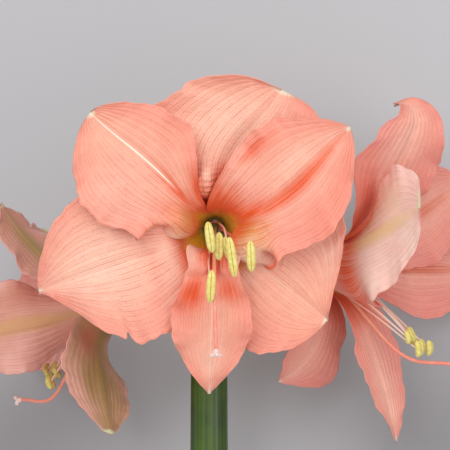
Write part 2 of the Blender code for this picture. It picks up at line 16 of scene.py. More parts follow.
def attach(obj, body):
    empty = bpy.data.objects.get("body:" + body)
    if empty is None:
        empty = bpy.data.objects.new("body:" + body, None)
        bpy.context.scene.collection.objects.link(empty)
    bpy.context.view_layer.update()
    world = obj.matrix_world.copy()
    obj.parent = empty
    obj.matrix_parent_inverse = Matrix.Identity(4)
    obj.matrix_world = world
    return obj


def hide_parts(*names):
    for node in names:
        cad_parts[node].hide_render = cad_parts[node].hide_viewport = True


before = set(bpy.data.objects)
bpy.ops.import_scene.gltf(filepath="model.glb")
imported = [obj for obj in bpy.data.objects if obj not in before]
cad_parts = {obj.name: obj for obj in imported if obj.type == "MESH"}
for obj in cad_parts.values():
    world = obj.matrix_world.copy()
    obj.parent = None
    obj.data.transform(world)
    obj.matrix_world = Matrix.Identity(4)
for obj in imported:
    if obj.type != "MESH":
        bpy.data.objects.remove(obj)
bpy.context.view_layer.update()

# The lying stem
# A cut stem has nothing to stand in, so it lies on its cut end and on a petal of each side bloom. It is
# turned a little about its length and tipped a little up for that, and its top shows where it lies.
LAY_TILT = math.radians(7.0732)
LAY_ROLL = math.radians(12.5629)
SCAPE_TOP_Y = -0.005
TOP_SLICE = 0.002
FLOOR_GAP = 0.0004

lying_turn = Matrix.Rotation(LAY_ROLL, 4, "Y") @ Matrix.Rotation(LAY_TILT, 4, "X")
raised = np.array([lying_turn.inverted() @ v.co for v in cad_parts["scape"].data.vertices])
stem_top = raised[raised[:, 1] > raised[:, 1].max() - TOP_SLICE]
top_middle = 0.5 * (stem_top.min(axis=0) + stem_top.max(axis=0))
stem_origin = Vector((top_middle[0], raised[:, 1].max() - SCAPE_TOP_Y, top_middle[2]))
lying = Matrix.Translation(lying_turn.to_3x3() @ stem_origin) @ lying_turn


# The scape
# The stem is a stout green flower stalk, fleshy and hollow, with a waxy skin that is faintly ribbed along
# its length. Its lower end is cut square with a knife and shows the pale wet flesh round the hollow.
SCAPE_LENGTH = 0.450
SCAPE_TOP_RADIUS = 0.0115
SCAPE_CUT_RADIUS = 0.0140
SCAPE_AROUND = 72
SCAPE_RIBS = 18
SCAPE_RIB_HEIGHT = 0.00010
HOLLOW_RADIUS = 0.0086
HOLLOW_DEPTH = 0.040
LIP_RADIUS = 0.0112
CUT_FACE_HEIGHT = 0.0004
RIBBED_FROM_RADIUS = 0.0105
COLLAR_HEIGHT = 0.0004
COLLAR_SPREAD = 0.004
STALK_ROWS = 90
MERGE_DISTANCE = 1e-6
UPRIGHT = Matrix.Rotation(math.radians(-90), 4, "X")


def srgb(red, green, blue):
    """A colour given as 0 to 255 on a screen, as the linear colour that a shader takes."""
    shares = np.array((red, green, blue)) / 255
    linear = np.where(shares <= 0.04045, shares / 12.92, ((shares + 0.055) / 1.055) ** 2.4)
    return (*linear.tolist(), 1.0)


def smooth_step(x):
    x = np.clip(x, 0.0, 1.0)
    return x * x * (3.0 - 2.0 * x)


class Shader:
    """A material's Principled BSDF or a node group's tree, with short ways to add and join nodes in it."""

    def __init__(self, name=None, roughness=0.5, tree=None):
        if tree is None:
            self.material = bpy.data.materials.new(name)
            self.material.use_nodes = True
            tree = self.material.node_tree
            self.skin = tree.nodes["Principled BSDF"]
            self.skin.inputs["Roughness"].default_value = roughness
        self.tree = tree

    def join(self, value, socket):
        """Puts a number, a colour or another node's output into a socket."""
        if isinstance(value, bpy.types.NodeSocket):
            self.tree.links.new(value, socket)
        elif value is not None:
            socket.default_value = value

    def fill(self, node, inputs):
        for name, value in inputs.items():
            self.join(value, node.inputs[name.replace("_", " ")])
        return node

    def node(self, kind, **inputs):
        return self.fill(self.tree.nodes.new("ShaderNode" + kind), inputs)

    def math(self, operation, a, b=None):
        node = self.tree.nodes.new("ShaderNodeMath")
        node.operation = operation
        self.join(a, node.inputs[0])
        self.join(b, node.inputs[1])
        return node.outputs[0]

    def times(self, a, b):
        return self.math("MULTIPLY", a, b)

    def plus(self, a, b):
        return self.math("ADD", a, b)

    def minus(self, a, b):
        return self.math("SUBTRACT", a, b)

    def ramp(self, value, start, end, low=0.0, high=1.0):
        """A smooth change from low to high as the value goes from start to end."""
        node = self.tree.nodes.new("ShaderNodeMapRange")
        node.interpolation_type = "SMOOTHSTEP"
        for socket, entry in zip(node.inputs, (value, start, end, low, high)):
            self.join(entry, socket)
        return node.outputs[0]

    def noise(self, place, scale, detail=3.0, size=(1.0, 1.0, 1.0)):
        spread = self.node("Mapping", Vector=place, Scale=size)
        return self.node("TexNoise", Vector=spread.outputs[0], Scale=scale, Detail=detail).outputs[0]

    def attribute(self, name):
        node = self.tree.nodes.new("ShaderNodeAttribute")
        node.attribute_name = name
        return node.outputs["Fac"]

    def uv(self, name):
        node = self.tree.nodes.new("ShaderNodeUVMap")
        node.uv_map = name
        return node.outputs[0]

    def object_place(self):
        return self.tree.nodes.new("ShaderNodeTexCoord").outputs["Object"]

    def spots(self, scale, detail=3.0):
        return self.noise(self.object_place(), scale, detail)

    def split(self, vector):
        return self.node("SeparateXYZ", Vector=vector).outputs[:2]

    def paint(self, colour, *coats):
        """Gives the skin a first colour and coats over it, each a share and a colour."""
        for share, coat in coats:
            node = self.tree.nodes.new("ShaderNodeMix")
            node.data_type = "RGBA"
            for number, entry in ((0, share), (6, colour), (7, coat)):
                self.join(entry, node.inputs[number])
            colour = node.outputs[2]
        self.dress(Base_Color=colour)

    def dress(self, **inputs):
        self.fill(self.skin, inputs)

    def bump(self, height, distance, strength):
        self.dress(Normal=self.node("Bump", Height=height, Distance=distance, Strength=strength).outputs[0])


def wrap_uv(faces, uv, low, high):
    """A UV map round Z and up from low to high, with no jump inside a face."""
    for face in faces:
        middle = face.calc_center_median()
        here = math.atan2(middle.y, middle.x)
        for loop in face.loops:
            turn = math.atan2(loop.vert.co.y, loop.vert.co.x)
            turn = here + (turn - here + math.pi) % (2 * math.pi) - math.pi
            loop[uv].uv = (0.5 + turn / (2 * math.pi), (loop.vert.co.z - low) / (high - low))


def turned(profile, around):
    """A bmesh turned about Z from (radius, height) points. Its UV map runs round and along the profile."""
    bm = bmesh.new()
    verts = [bm.verts.new((radius, 0.0, height)) for radius, height in profile]
    edges = [bm.edges.new(pair) for pair in zip(verts, verts[1:])]
    bmesh.ops.spin(bm, geom=verts + edges, cent=(0, 0, 0), axis=(0, 0, 1), angle=2 * math.pi,
                   steps=around, use_merge=True)
    bmesh.ops.remove_doubles(bm, verts=bm.verts, dist=MERGE_DISTANCE)
    bmesh.ops.recalc_face_normals(bm, faces=bm.faces)
    heights = [height for _, height in profile]
    uv = bm.loops.layers.uv.new("skin")
    wrap_uv(bm.faces, uv, min(heights), max(heights))
    return bm


def add_object(name, data):
    ob = bpy.data.objects.new(name, data)
    bpy.context.scene.collection.objects.link(ob)
    return ob


def add_mesh(name, bm, materials):
    mesh = bpy.data.meshes.new(name)
    bm.to_mesh(mesh)
    bm.free()
    for material in materials:
        mesh.materials.append(material)
    return add_object(name, mesh)


def add_piece(name, bm, materials, nodes, matrix=Matrix()):
    """Lays a bmesh of the flower frame down with the stem, as a piece that stands for CAD nodes."""
    bmesh.ops.transform(bm, matrix=lying @ matrix, verts=bm.verts)
    for vert in bm.verts:
        vert.co.z = max(vert.co.z, FLOOR_GAP)
    ob = add_mesh(name, bm, materials)
    ob.data.shade_smooth()
    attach(ob, "root")
    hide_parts(*nodes)
    return ob


def green_skin(name, dark, light, streaks, roughness):
    """Waxy green skin with paler streaks along the stalk and small pale flecks."""
    shader = Shader(name, roughness)
    streak = shader.noise(shader.uv("skin"), streaks, 4.0, (1.0, 0.03, 1.0))
    cloud = shader.spots(60.0)
    share = shader.plus(shader.times(streak, 0.75), shader.times(cloud, 0.25))
    shader.paint(dark, (shader.ramp(share, 0.36, 0.66), light),
                 (shader.ramp(shader.spots(1400.0, 1.0), 0.66, 0.80, 0.0, 0.35), srgb(122, 150, 80)))
    shader.dress(Roughness=shader.ramp(cloud, 0.3, 0.7, roughness - 0.06, roughness + 0.08),
                 Coat_Weight=0.12, Coat_Roughness=0.25)
    shader.bump(share, 0.0003, 0.6)
    return shader.material


def cut_flesh():
    """Pale wet flesh: cream at the core, greener under the skin, with the ends of its fibres."""
    shader = Shader("cut_flesh", 0.35)
    grain = shader.spots(900.0, 2.0)
    shader.paint(srgb(214, 219, 168), (shader.ramp(shader.spots(150.0), 0.35, 0.7), srgb(176, 192, 120)),
                 (shader.ramp(grain, 0.62, 0.74, 0.0, 0.5), srgb(120, 140, 70)))
    shader.dress(Subsurface_Weight=0.2, Subsurface_Scale=0.002)
    shader.bump(grain, 0.0002, 0.7)
    return shader.material


def scape_radius(height):
    """Radius of the skin at a height above the cut."""
    share = np.clip(height / SCAPE_LENGTH, 0, 1)
    taper = SCAPE_CUT_RADIUS + (SCAPE_TOP_RADIUS - SCAPE_CUT_RADIUS) * share
    collar = COLLAR_HEIGHT * math.exp(-(((height - SCAPE_LENGTH + COLLAR_SPREAD) / COLLAR_SPREAD) ** 2))
    return taper - COLLAR_HEIGHT * smooth_step((share - 0.9) / 0.08) + collar


stalk_heights = np.linspace(0.0008, SCAPE_LENGTH - 0.0012, STALK_ROWS)
scape_profile = [
    (0.0, HOLLOW_DEPTH), (HOLLOW_RADIUS * 0.5, HOLLOW_DEPTH - 0.0015),
    (HOLLOW_RADIUS * 0.9, HOLLOW_DEPTH - 0.006), (HOLLOW_RADIUS * 0.97, 0.5 * HOLLOW_DEPTH),
    (HOLLOW_RADIUS, 0.0012), (HOLLOW_RADIUS + 0.0003, 0.0002), (LIP_RADIUS, 0.0),
    (SCAPE_CUT_RADIUS - 0.0005, 0.0),
    *((float(scape_radius(h)), float(h)) for h in stalk_heights),
    (SCAPE_TOP_RADIUS - 0.0012, SCAPE_LENGTH - 0.0002), (0.0, SCAPE_LENGTH),
]

scape_bm = turned(scape_profile, SCAPE_AROUND)
for vert in scape_bm.verts:
    around = math.atan2(vert.co.y, vert.co.x)
    reach = math.hypot(vert.co.x, vert.co.y)
    if reach > RIBBED_FROM_RADIUS:
        swell = SCAPE_RIB_HEIGHT * math.cos(SCAPE_RIBS * around + 4.0 * vert.co.z)
        vert.co.x *= 1 + swell / reach
        vert.co.y *= 1 + swell / reach
for face in scape_bm.faces:
    middle = face.calc_center_median()
    in_hollow = math.hypot(middle.x, middle.y) < HOLLOW_RADIUS and middle.z < HOLLOW_DEPTH
    face.material_index = 1 if middle.z < CUT_FACE_HEIGHT or in_hollow else 0

scape_stand = Matrix.Translation((0, SCAPE_TOP_Y - SCAPE_LENGTH, 0)) @ UPRIGHT
scape_skin = green_skin("scape_skin", srgb(32, 56, 4), srgb(72, 100, 14), 26.0, 0.40)
add_piece("scape_stalk", scape_bm, (scape_skin, cut_flesh()), ("scape",), scape_stand)


# The blooms' places
# Each bloom faces its own way at the end of its stalk. A bloom is worked out in a frame of its own, with Z
# along its axis and Y as near to straight up as it goes.
BLOOM_PLACES = {
    "front": dict(base=(0.004, 0.050, 0.050), axis=(0.0, -0.10, 0.995), stalk_turn=0),
    "right": dict(base=(0.049, 0.028, 0.007), axis=(0.85, -0.10, 0.50), stalk_turn=120),
    "left": dict(base=(-0.045, 0.003, 0.006), axis=(-0.93, -0.25, -0.25), stalk_turn=240),
}


def unit(vector):
    return np.asarray(vector, dtype=float) / np.linalg.norm(vector)


def bloom_matrix(name):
    k = unit(BLOOM_PLACES[name]["axis"])
    j = unit(np.array((0.0, 1.0, 0.0)) - k[1] * k)
    i = np.cross(j, k)
    turn = Matrix((i.tolist(), j.tolist(), k.tolist())).transposed()
    return Matrix.Translation(BLOOM_PLACES[name]["base"]) @ turn.to_4x4()


# The pedicels
# A short green stalk carries each bloom. It arches out of the top of the stem and swells at its end into the
# seed case, a smooth green body of three rounded lobes right under the petals.
PEDICEL_RADIUS = 0.0042
PEDICEL_RING_RADIUS = 0.0055
PEDICEL_STRAIGHT = 0.002
PEDICEL_AROUND = 36
OVARY_LENGTH = 0.018
OVARY_RADIUS = 0.0068
OVARY_LOBE_DEPTH = 0.12
SEAT_GAP = 0.0003
ARCH_STEPS = 40
OVARY_STEPS = 24


def rod(bm, route, radii, around, lobes=None):
    """Adds a round rod along a route to a bmesh, with a radius at each point and closed round ends."""
    rows = len(route)
    made = bmesh.ops.create_grid(bm, x_segments=around, y_segments=rows - 1, size=0.5)["verts"]
    uv = bm.loops.layers.uv.get("skin") or bm.loops.layers.uv.new("skin")
    shares = {vert: (index % (around + 1) / around, index // (around + 1) / (rows - 1))
              for index, vert in enumerate(made)}
    for face in {face for vert in made for face in vert.link_faces}:
        for loop in face.loops:
            loop[uv].uv = shares[loop.vert]
    tangents = np.gradient(route, axis=0)
    side_way = None
    for row in range(rows):
        along = unit(tangents[row])
        if side_way is None:
            spare = np.array((0.0, 0.0, 1.0)) if abs(along[2]) < 0.9 else np.array((1.0, 0.0, 0.0))
            side_way = np.cross(along, spare)
        side_way = unit(side_way - np.dot(side_way, along) * along)
        other = np.cross(along, side_way)
        for column in range(around + 1):
            turn = 2 * math.pi * column / around
            swell = 1.0 + (lobes[row] * math.cos(3 * turn) if lobes is not None else 0.0)
            reach = radii[row] * swell
            made[row * (around + 1) + column].co = route[row] + reach * (
                math.cos(turn) * side_way + math.sin(turn) * other
            )
    bmesh.ops.remove_doubles(bm, verts=made, dist=MERGE_DISTANCE)
    made = [vert for vert in made if vert.is_valid]
    rims = {edge for vert in made for edge in vert.link_edges if edge.is_boundary}
    bmesh.ops.holes_fill(bm, edges=list(rims), sides=0)
    bmesh.ops.recalc_face_normals(bm, faces=list({face for vert in made for face in vert.link_faces}))
    return made


def rounded(radii, lengths):
    """Radii along a rod with its last stretch drawn in to a round end."""
    left = np.clip((1.0 - lengths) / 0.06, 0, 1)
    return radii * np.sqrt(np.clip(1 - (1 - left) ** 2, 0.02, 1))


pedicel_skin = green_skin("pedicel_skin", srgb(70, 104, 44), srgb(128, 150, 78), 9.0, 0.36)
for name, place in BLOOM_PLACES.items():
    turn = math.radians(place["stalk_turn"])
    foot = np.array((PEDICEL_RING_RADIUS * math.sin(turn), SCAPE_TOP_Y + SEAT_GAP,
                     PEDICEL_RING_RADIUS * math.cos(turn)))
    up = np.array((0.0, 1.0, 0.0))
    axis = unit(place["axis"])
    top = np.array(place["base"]) - axis * SEAT_GAP
    neck = top - axis * OVARY_LENGTH
    rise = foot + up * PEDICEL_STRAIGHT
    reach = np.linalg.norm(neck - rise)
    t = np.linspace(0, 1, ARCH_STEPS)[:, None]
    pull_up = rise + up * 0.45 * reach
    pull_back = neck - axis * 0.40 * reach
    arch = ((1 - t) ** 3 * rise + 3 * (1 - t) ** 2 * t * pull_up + 3 * (1 - t) * t**2 * pull_back
            + t**3 * neck)
    stalk = np.vstack((foot, 0.5 * (foot + rise), arch))
    share = np.linspace(0.05, 1.0, OVARY_STEPS)
    route = np.vstack((stalk, neck + share[:, None] * OVARY_LENGTH * axis))
    stalk_radii = PEDICEL_RADIUS * np.interp(np.linspace(0, 1, len(stalk)), (0, 0.5, 0.9, 1),
                                             (1, 0.92, 0.9, 0.98))
    ovary_radii = OVARY_RADIUS * np.interp(share, (0, 0.2, 0.4, 0.6, 0.8, 0.93, 1),
                                           (0.62, 0.80, 0.95, 1.0, 0.98, 0.90, 0.80))
    lobes = np.concatenate((np.zeros(len(stalk)), OVARY_LOBE_DEPTH * np.sin(np.pi * share) ** 0.7))
    pedicel_bm = bmesh.new()
    rod(pedicel_bm, route, np.concatenate((stalk_radii, ovary_radii)), PEDICEL_AROUND, lobes)
    add_piece(f"flower_stalk_{name}", pedicel_bm, (pedicel_skin,), (f"pedicel_{name}",))


# The petals
# Each bloom has three outer and three inner petals, thin soft leaves grown as one with the short tube under
# them. A petal rises in the throat, bends out and spreads flat. Fine veins run from its foot to its tip, its
# face is finely crinkled between them, and its margins wave and, near the throat, fold over.
PETAL_THICKNESS = 0.0006
PETAL_HALF_QUADS = 44
PETAL_ROWS = 140
RIB_STEPS = 240
RIB_BLUR = 25
CLAW_HALF_WIDTH = 0.0060
TIP_HALF_WIDTH = 0.0010
OUTER_WHORL_RADIUS = 0.0067
INNER_WHORL_RADIUS = 0.0061
PETAL_FOOT_HEIGHT = 0.0026
CUP = 4.0
TIP_CUP = 18.0
WAVES = 4.5
WAVE_HEIGHT = 0.0020
RIPPLE_HEIGHT = 0.0007
FRILL = 0.018
GROOVE_DEPTH = 0.0012
GROOVE_WIDTH = 0.0035
PLEAT_HEIGHT = 0.00020
PLEATS = 7
BULGE_RIDGE = 0.10
BULGE_RIDGES = 42


def half_width(share, side, claw):
    """Half-width of one side of a petal at a share of its length: claw, full blade, then the tip."""
    width, peak, tip, foot = side
    rise = np.sin(0.5 * math.pi * np.clip(share / peak, 0, 1)) ** foot
    fall = np.cos(0.5 * math.pi * np.clip((share - peak) / (1 - peak), 0, 1)) ** tip
    return np.where(share < peak, claw + (width - claw) * rise, np.maximum(width * fall, TIP_HALF_WIDTH))


def petal_rib(petal, start_radius):
    """The midrib in its own plane: distance from the bloom's axis, height and angle at each fine step."""
    share = np.linspace(0, 1, RIB_STEPS + 1)
    bend = np.array(petal["bend"], dtype=float)
    raw = np.interp(share, bend[:, 0], bend[:, 1])
    padded = np.pad(raw, RIB_BLUR // 2, mode="edge")
    angle = np.radians(np.convolve(padded, np.ones(RIB_BLUR) / RIB_BLUR, mode="valid"))
    step = petal["length"] / RIB_STEPS
    middle = 0.5 * (angle[1:] + angle[:-1])
    radius = start_radius + np.concatenate(([0], np.cumsum(np.sin(middle) * step)))
    height = np.concatenate(([0], np.cumsum(np.cos(middle) * step)))
    return share, radius, height, angle


def petal_half(petal, side, v, hug, claw):
    """Distances across and above the midrib of one half of a petal, rows along it and columns outwards."""
    fine = np.linspace(0, 1, PETAL_HALF_QUADS + 1)[None, :]
    phase = math.radians(petal["at"]) * 3 + side
    blade = smooth_step((v - 0.32) / 0.2)
    full = half_width(v, petal["ccw"] if side > 0 else petal.get("cw", petal["ccw"]), claw)
    frill = np.sin(2 * math.pi * 6.3 * v + 1.3 * phase) + 0.6 * np.sin(2 * math.pi * 14.7 * v + 2.9 * phase)
    s = full * (fine + FRILL * fine**8 * blade * frill * (1 - smooth_step((v - 0.9) / 0.1)))
    for lobe_side, middle, spread, extra in petal.get("lobes", ()):
        if lobe_side == side:
            s = s + extra * smooth_step((fine - 0.2) / 0.8) * np.exp(-(((v - middle) / spread) ** 2))
    cup = CUP * smooth_step((v - 0.3) / 0.3)
    tip_cup = TIP_CUP * smooth_step((v - 0.82) / 0.18)
    theta = (hug + cup + tip_cup) * s
    for sides, first, last, soft, folds in petal.get("folded", ()):
        if side in sides:
            here = smooth_step((v - first) / soft) * smooth_step((last - v) / soft)
            for start, end, degrees in folds:
                theta = theta + math.radians(degrees) * here * smooth_step((fine - start) / (end - start))
    ds = s[:, 1:] - s[:, :-1]
    turn = 0.5 * (theta[:, 1:] + theta[:, :-1])
    nothing = np.zeros((len(v), 1))
    x = np.concatenate((nothing, np.cumsum(np.cos(turn) * ds, axis=1)), axis=1)
    y = np.concatenate((nothing, np.cumsum(np.sin(turn) * ds, axis=1)), axis=1)
    wave = np.sin(2 * math.pi * WAVES * v + phase)
    ripple = np.sin(2 * math.pi * (11.0 * v + 0.6 * fine) + 1.7 * phase)
    ripple = ripple * np.sin(2 * math.pi * 3.1 * v + phase)
    pleat = np.cos(2 * math.pi * PLEATS * fine) * smooth_step(fine / 0.1) * smooth_step((1 - fine) / 0.15)
    lift = WAVE_HEIGHT * fine**2 * wave * petal.get("wavy", 1.0)
    lift = lift + RIPPLE_HEIGHT * fine**4 * ripple - GROOVE_DEPTH * np.exp(-((s / GROOVE_WIDTH) ** 2))
    lift = blade * (lift + PLEAT_HEIGHT * pleat)
    for middle, spread, aside, width, height in petal.get("bulges", ()):
        off = (side * s - aside) / width
        ridge = 1 + BULGE_RIDGE * np.cos(2 * math.pi * BULGE_RIDGES * v + 4 * off)
        lift = lift + height * np.exp(-(((v - middle) / spread) ** 2) - off**2) * ridge
    return x - lift * np.sin(theta), y + lift * np.cos(theta)


def petal_surface(petal, start_radius, claw):
    """Points of a petal's middle surface, in its bloom's frame, row by row from its foot."""
    v = np.linspace(0, 1, PETAL_ROWS + 1)[:, None]
    share, radius, height, angle = petal_rib(petal, start_radius)
    r = np.interp(v, share, radius)
    h = np.interp(v, share, height)
    psi = np.interp(v, share, angle)
    hug = np.cos(psi) / np.maximum(r, 0.004) * (1 - smooth_step((v - 0.42) / 0.2))
    x_left, y_left = petal_half(petal, -1, v, hug, claw)
    x_right, y_right = petal_half(petal, 1, v, hug, claw)
    x = np.concatenate((-x_left[:, :0:-1], x_right), axis=1)[..., None]
    y = np.concatenate((y_left[:, :0:-1], y_right), axis=1)[..., None]
    swept = petal.get("sweep", 0.0) * (1 - smooth_step((v - 0.35) / 0.65))
    azimuth = np.radians(petal["at"] + swept)[..., None]
    radial = np.concatenate((np.cos(azimuth), np.sin(azimuth), 0 * azimuth), axis=2)
    tangent = np.concatenate((-np.sin(azimuth), np.cos(azimuth), 0 * azimuth), axis=2)
    axis = np.array((0.0, 0.0, 1.0))
    psi = psi[..., None]
    normal = np.sin(psi) * axis - np.cos(psi) * radial
    twist = (math.radians(petal.get("twist", 0.0)) * smooth_step((v - 0.25) / 0.55))[..., None]
    rib = r[..., None] * radial + h[..., None] * axis
    sideways = np.cos(twist) * tangent + np.sin(twist) * normal
    upwards = np.cos(twist) * normal - np.sin(twist) * tangent
    return rib + x * sideways + y * upwards


def petal_sheet(petal, points):
    """A bmesh sheet through the points, its front towards the bloom's viewer, with a UV map of its shares.

    Four more values lie on its points: how pale its midrib is, and where it is flushed, paled or olive.
    The paled places are partly the petal's own paler tone and partly painted light.
    """
    rows, columns = points.shape[:2]
    bm = bmesh.new()
    bmesh.ops.create_grid(bm, x_segments=columns - 1, y_segments=rows - 1, size=0.5)
    bm.verts.ensure_lookup_table()
    uv = bm.loops.layers.uv.new("petal")
    pale_rib = bm.verts.layers.float.new("pale_rib")
    patches = {word: bm.verts.layers.float.new(word) for word in ("flush", "pale", "olive")}
    for face in bm.faces:
        for loop in face.loops:
            row, column = divmod(loop.vert.index, columns)
            loop[uv].uv = (column / (columns - 1), row / (rows - 1))
    for vert, place in zip(bm.verts, points.reshape(-1, 3)):
        row, column = divmod(vert.index, columns)
        u = 2 * column / (columns - 1) - 1
        v = row / (rows - 1)
        vert.co = place
        vert[pale_rib] = petal.get("pale_rib", 0.2)
        for word, layer in patches.items():
            vert[layer] = max((strength * math.exp(-(((u - u0) / du) ** 2) - ((v - v0) / dv) ** 2)
                               for u0, v0, du, dv, strength in petal.get(word, ())), default=0.0)
    bmesh.ops.reverse_faces(bm, faces=bm.faces)
    return bm


def add_petal(name, petal, materials, nodes, start_radius, claw, matrix, thickness):
    sheet = petal_sheet(petal, petal_surface(petal, start_radius, claw))
    ob = add_piece(name, sheet, materials, nodes, matrix)
    solid = ob.modifiers.new("thickness", "SOLIDIFY")
    solid.thickness = thickness
    solid.offset = 0
    solid.material_offset = 1
    return ob


PETAL_WORDS = ("Vein", "Crinkle", "Tint", "Rays", "Across", "Along")


def vein_group():
    """Node group: fine veins from foot to tip, the crinkle between them, and slow changes of tint."""
    tree = bpy.data.node_groups.new("petal_veins", "ShaderNodeTree")
    tree.interface.new_socket("Shares", in_out="INPUT", socket_type="NodeSocketVector")
    tree.interface.new_socket("Place", in_out="INPUT", socket_type="NodeSocketVector")
    tree.interface.new_socket("Veins", in_out="INPUT", socket_type="NodeSocketFloat")
    for word in PETAL_WORDS:
        tree.interface.new_socket(word, in_out="OUTPUT", socket_type="NodeSocketFloat")
    take = tree.nodes.new("NodeGroupInput").outputs
    give = tree.nodes.new("NodeGroupOutput").inputs
    shader = Shader(tree=tree)
    u, v = shader.split(take["Shares"])
    from_rib = shader.times(shader.minus(u, 0.5), 2.0)
    across = shader.math("ABSOLUTE", from_rib)
    wander = shader.noise(take["Place"], 30.0, 1.0)
    phase = shader.plus(shader.times(from_rib, take["Veins"]), shader.times(wander, 0.5))
    main = shader.ramp(shader.math("PINGPONG", phase, 0.5), 0.0, 0.17, 1.0, 0.0)
    fine = shader.ramp(shader.math("PINGPONG", shader.times(phase, 2.0), 0.5), 0.0, 0.24, 0.5, 0.0)
    fade = shader.ramp(shader.noise(take["Place"], 130.0, 2.0), 0.3, 0.62, 0.3, 1.0)
    vein = shader.times(shader.math("MAXIMUM", main, fine), fade)
    crinkle = shader.noise(take["Shares"], 1.0, 2.0, (38.0, 130.0, 1.0))
    tint = shader.noise(take["Place"], 28.0, 3.0)
    rays = shader.noise(take["Shares"], 1.0, 2.0, (24.0, 2.2, 1.0))
    for word, value in zip(PETAL_WORDS, (vein, crinkle, tint, rays, across, v)):
        shader.join(value, give[word])
    return tree


petal_veins = vein_group()


def petal_shader(name, roughness):
    """A petal's shader with its vein group, and the soft light that passes through thin flesh."""
    shader = Shader(name, roughness)
    group = shader.tree.nodes.new("ShaderNodeGroup")
    group.node_tree = petal_veins
    shader.join(shader.uv("petal"), group.inputs["Shares"])
    shader.join(shader.object_place(), group.inputs["Place"])
    group.inputs["Veins"].default_value = 15.0
    shader.dress(Subsurface_Weight=0.25, Subsurface_Radius=(1.0, 0.45, 0.3), Subsurface_Scale=0.003,
                 Sheen_Weight=0.05, Sheen_Roughness=0.4)
    return (shader, *(group.outputs[word] for word in PETAL_WORDS))


def petal_face(name, face, pink, light, deep, throat, depth):
    """The inner face: peach, pinker at the margins, orange in the throat, green at its foot."""
    shader, vein, crinkle, tint, rays, across, along = petal_shader(name, 0.5)
    pale_rib, flush, pale, olive = (shader.attribute(word) for word in ("pale_rib", "flush", "pale", "olive"))
    centre = shader.times(shader.ramp(across, 0.0, 0.7, 0.5, 0.0), shader.ramp(along, 0.3, 0.55))
    rays_off = shader.minus(rays, 0.5)
    wander = shader.plus(shader.times(shader.minus(tint, 0.5), 0.2), shader.times(rays_off, 0.30))
    reach = shader.plus(shader.plus(along, wander), shader.times(vein, -0.05))
    glow = shader.times(shader.ramp(reach, depth - 0.16, depth + 0.08, 0.9, 0.0),
                        shader.ramp(pale, 0.2, 0.7, 1.0, 0.0))
    streak = shader.plus(shader.times(vein, 0.35), shader.ramp(rays, 0.3, 0.55, 0.62, 1.0))
    glow = shader.math("MAXIMUM", glow, shader.times(flush, streak))
    rib = shader.times(shader.ramp(across, 0.006, 0.024, 1.0, 0.0), shader.ramp(along, 0.42, 0.55))
    green = shader.plus(shader.plus(along, shader.times(across, 0.10)), shader.times(rays_off, 0.12))
    tip_place = shader.minus(along, shader.times(across, 0.035))
    shader.paint(
        face,
        (shader.ramp(tint, 0.35, 0.7), pink),
        (shader.ramp(across, 0.5, 1.0, 0.0, 0.75), pink),
        (centre, light),
        # pale patches: partly the petals' own paler tone, partly painted light where a petal lies in shade
        # near the throat, and a painted highlight on the top petal's knee
        (pale, srgb(255, 208, 186)),
        (shader.times(vein, 0.50), deep),
        # the deep colour laid along the crinkle is painted shade, standing for the shadows in its creases
        (shader.ramp(crinkle, 0.60, 0.70, 0.0, 0.35), deep),
        (glow, throat),
        (shader.times(shader.times(vein, glow), 0.6), srgb(176, 62, 6)),
        (olive, srgb(186, 162, 78)),
        (shader.times(rib, pale_rib), srgb(255, 232, 212)),
        (shader.ramp(green, 0.16, 0.32, 0.95, 0.0), srgb(238, 198, 44)),
        (shader.ramp(tip_place, 0.965, 0.99, 0.0, 0.85), srgb(248, 242, 214)),
    )
    shader.bump(shader.minus(shader.times(crinkle, 0.9), shader.times(vein, 0.35)), 0.0007, 0.6)
    return shader.material


def petal_back(name, face, pink, deep, green, foot, rib_share=0.30):
    """The outer face: paler and duller, with a broad green midrib that fades to a cream tip."""
    shader, vein, crinkle, tint, rays, across, along = petal_shader(name, 0.55)
    flush, pale, olive = (shader.attribute(word) for word in ("flush", "pale", "olive"))
    band = shader.times(shader.ramp(across, 0.04, rib_share, 0.8, 0.0),
                        shader.ramp(along, 0.7, 1.0, 1.0, 0.3))
    streak = shader.plus(shader.times(vein, 0.3), shader.ramp(rays, 0.35, 0.6, 0.65, 0.95))
    shader.paint(
        face,
        (shader.ramp(tint, 0.35, 0.7), pink),
        (shader.ramp(across, 0.8, 1.0, 0.0, 0.8), pink),
        (shader.times(vein, 0.40), deep),
        (shader.math("MAXIMUM", band, olive), green),
        (shader.ramp(along, 0.12, 0.34, 0.9, 0.0), green),
        # pale patches: partly the petals' own paler tone, partly painted light where a petal lies in shade
        (pale, srgb(250, 204, 176)),
        (shader.times(flush, streak), foot),
        (shader.ramp(along, 0.965, 0.99, 0.0, 0.85), srgb(238, 228, 180)),
    )
    shader.bump(shader.plus(shader.times(crinkle, 0.8), shader.times(vein, 0.5)), 0.0007, 0.5)
    return shader.material


def add_bloom(name, petals, materials, own=None):
    """Adds three outer and three inner petals, each with its own pair of skins where it has one."""
    place = bloom_matrix(name) @ Matrix.Translation((0, 0, PETAL_FOOT_HEIGHT))
    for number, petal in enumerate(petals):
        skins = (own or {}).get(petal["name"], materials)
        radius = OUTER_WHORL_RADIUS if number < 3 else INNER_WHORL_RADIUS
        add_petal(f"petal_{name}_{petal['name']}", petal, skins, (f"bloom_{name}",),
                  radius, CLAW_HALF_WIDTH, place, PETAL_THICKNESS)


